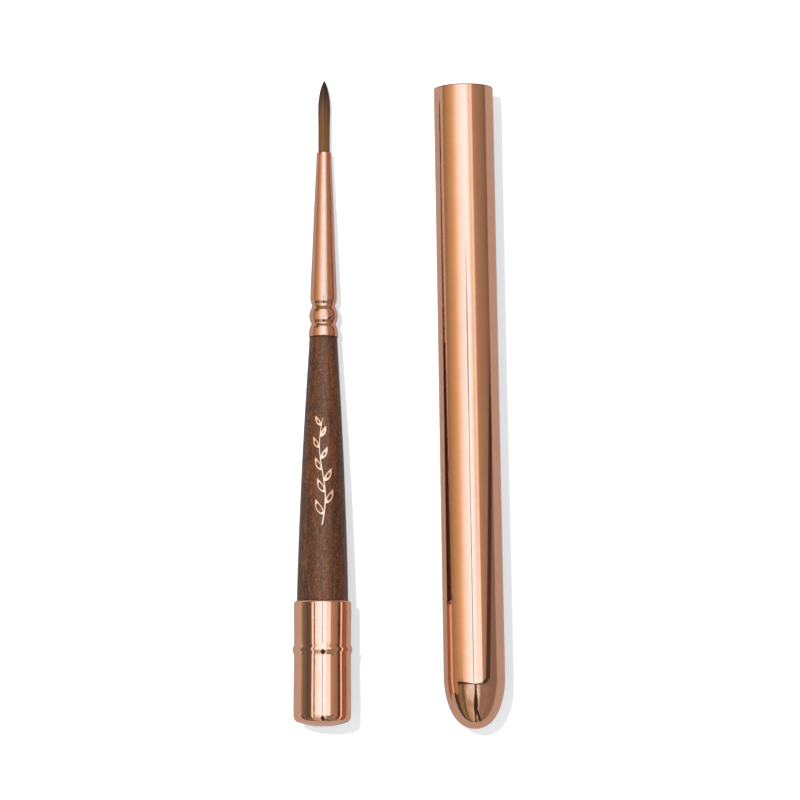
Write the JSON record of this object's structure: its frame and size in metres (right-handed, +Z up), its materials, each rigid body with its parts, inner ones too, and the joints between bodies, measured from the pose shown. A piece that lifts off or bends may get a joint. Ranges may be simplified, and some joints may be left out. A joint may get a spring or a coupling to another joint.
{
  "type": "travel detail brush",
  "caption": "Pocket round detail brush with sable hair, turned walnut handle, tapered metal ferrule and stop collar, lying beside its bullet-nosed cap tube.",
  "frame": {"origin": "centre of the bounding box of brush and cap, on the surface they lie on", "axes": "+Y along the brush towards the hair tip, +X from the brush towards the cap, +Z up"},
  "size_m": [0.0386, 0.1196, 0.0113],
  "materials": {
    "collar_metal": "mirror-polished copper-coloured plating",
    "ferrule_metal": "mirror-polished copper-coloured plating",
    "cap_metal": "mirror-polished copper-coloured plating",
    "walnut": "oiled dark walnut, fine open pores, satin",
    "sable_hair": "natural sable hair, straight, soft sheen",
    "sable_root": "sable hair, bound root",
    "binding_thread": "waxed thread",
    "root_resin": "set resin",
    "ferrule_glue": "set glue film",
    "collar_glue": "set glue film"
  },
  "bodies": {
    "brush": {"collar": "collar_metal", "ferrule": "ferrule_metal", "handle": "walnut", "tuft_root": "sable_root", "root_binding": "binding_thread", "root_cement": "root_resin", "ferrule_adhesive": "ferrule_glue", "collar_adhesive": "collar_glue"},
    "tuft": {"tuft": "sable_hair"},
    "cap": {"cap_tube": "cap_metal"}
  },
  "joints": [
    {"name": "tuft_flex", "type": "hinge", "parent": "brush", "child": "tuft", "pos_m": [-0.01383, 0.04595, 0.00153], "axis": [0, 0.0442, 0.999], "range_deg": [-25, 25], "stiffness_Nm_per_rad": 0.0012},
    {"name": "cap_slide", "type": "slide", "parent": "brush", "child": "cap", "axis": [0.0169, -0.9999, 0], "range_m": [0, 0.102]}
  ]
}
